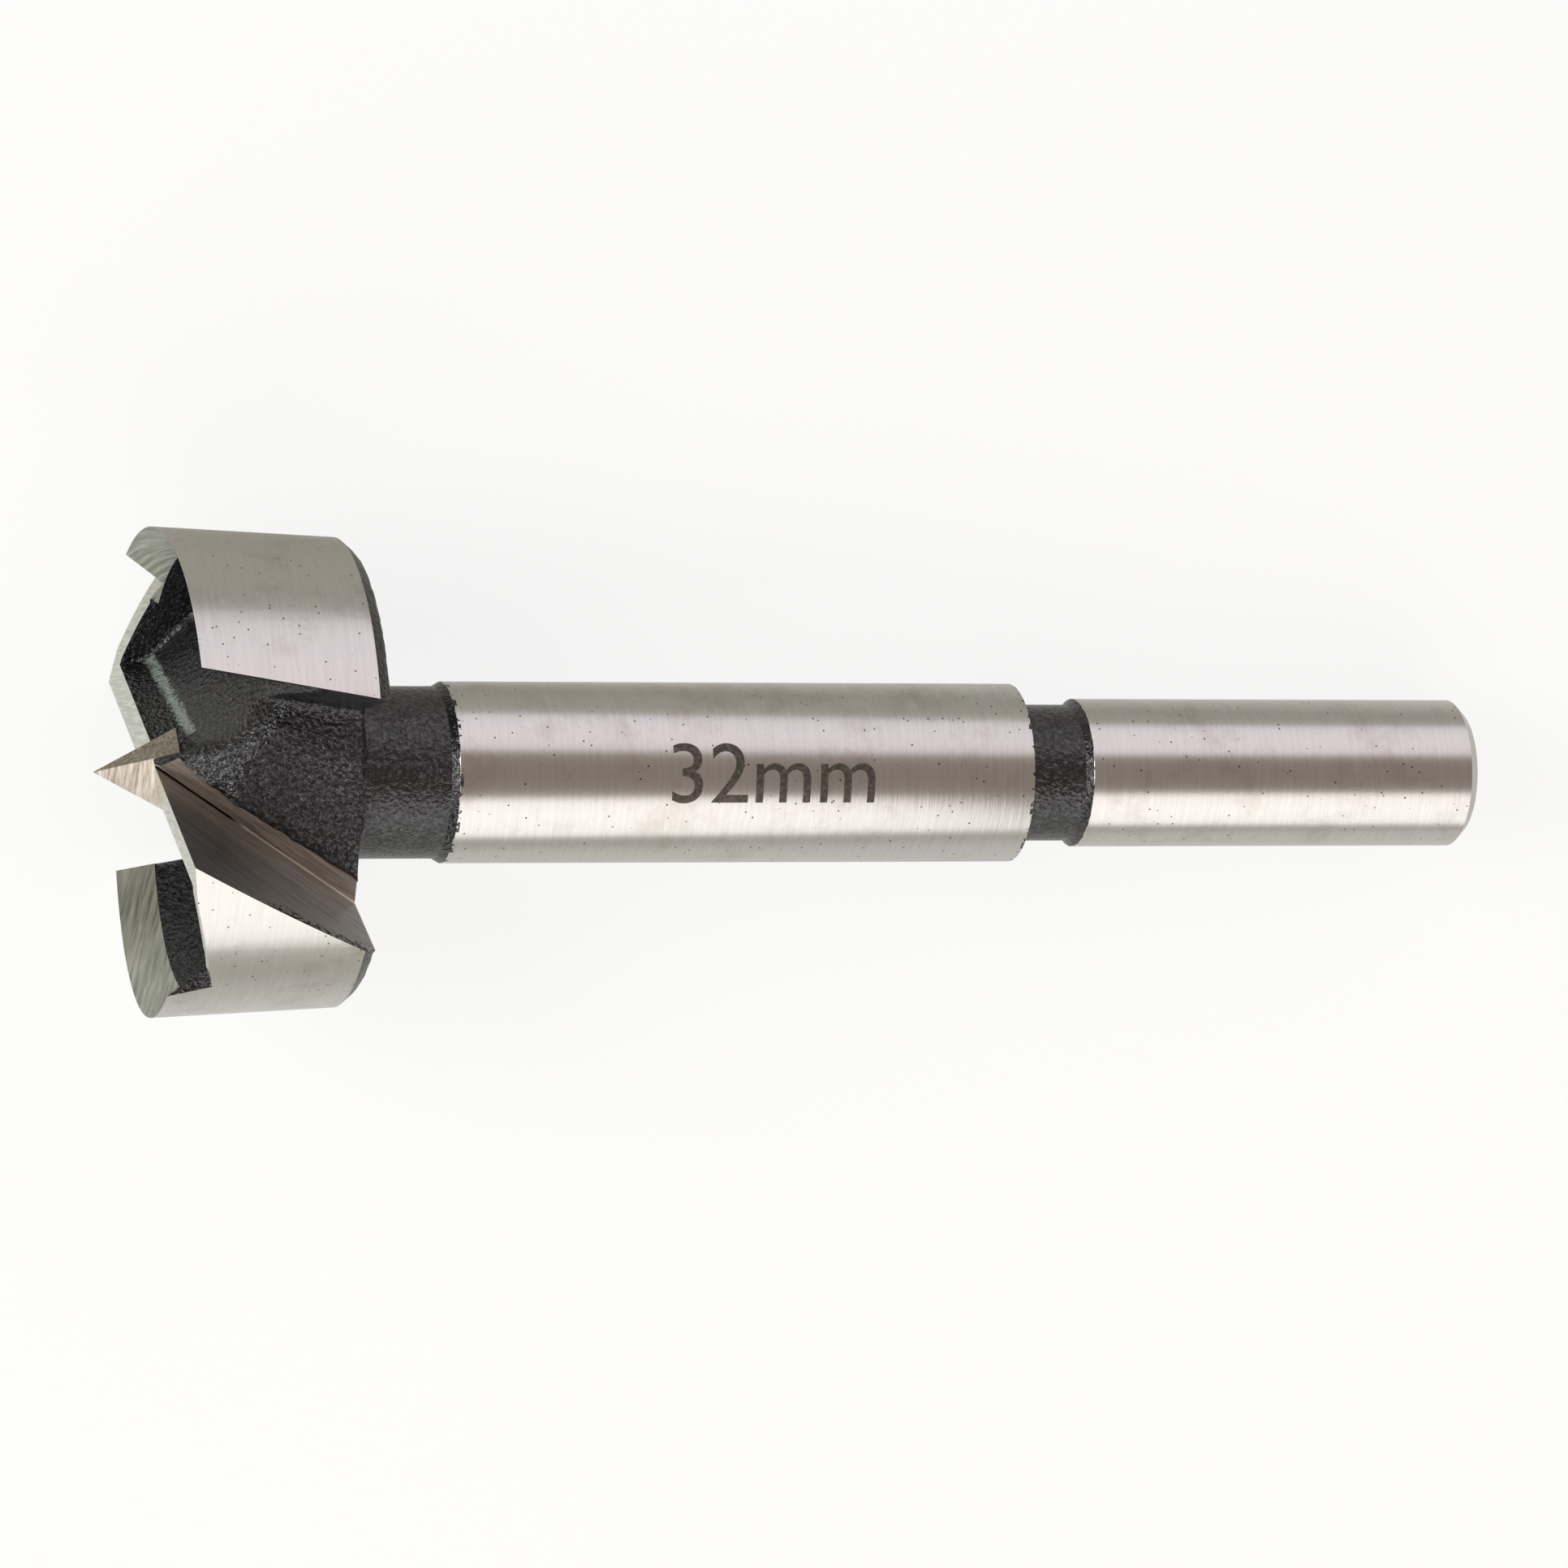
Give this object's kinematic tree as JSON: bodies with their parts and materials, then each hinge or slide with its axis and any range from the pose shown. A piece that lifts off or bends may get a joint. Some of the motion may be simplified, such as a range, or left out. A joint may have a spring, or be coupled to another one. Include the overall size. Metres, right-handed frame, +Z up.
{
  "type": "forstner bit",
  "caption": "Wood boring bit with a rim-guided head, ground cutters, open chip gullets, a centre point and a plain round shank, lying on its side as it rests on a bench.",
  "frame": {"origin": "on the floor, below the middle of the bit's length as it lies on its side", "axes": "+X along the bit from the centre point to the shank's free end, +Y across it, +Z up from the floor"},
  "size_m": [0.0948, 0.032, 0.0307],
  "materials": {
    "steel": "ground bright on the shank, body and cutting faces, forged black in the neck, gullets and pockets"
  },
  "bodies": {
    "root": {"boring_bit": "steel"}
  },
  "joints": []
}
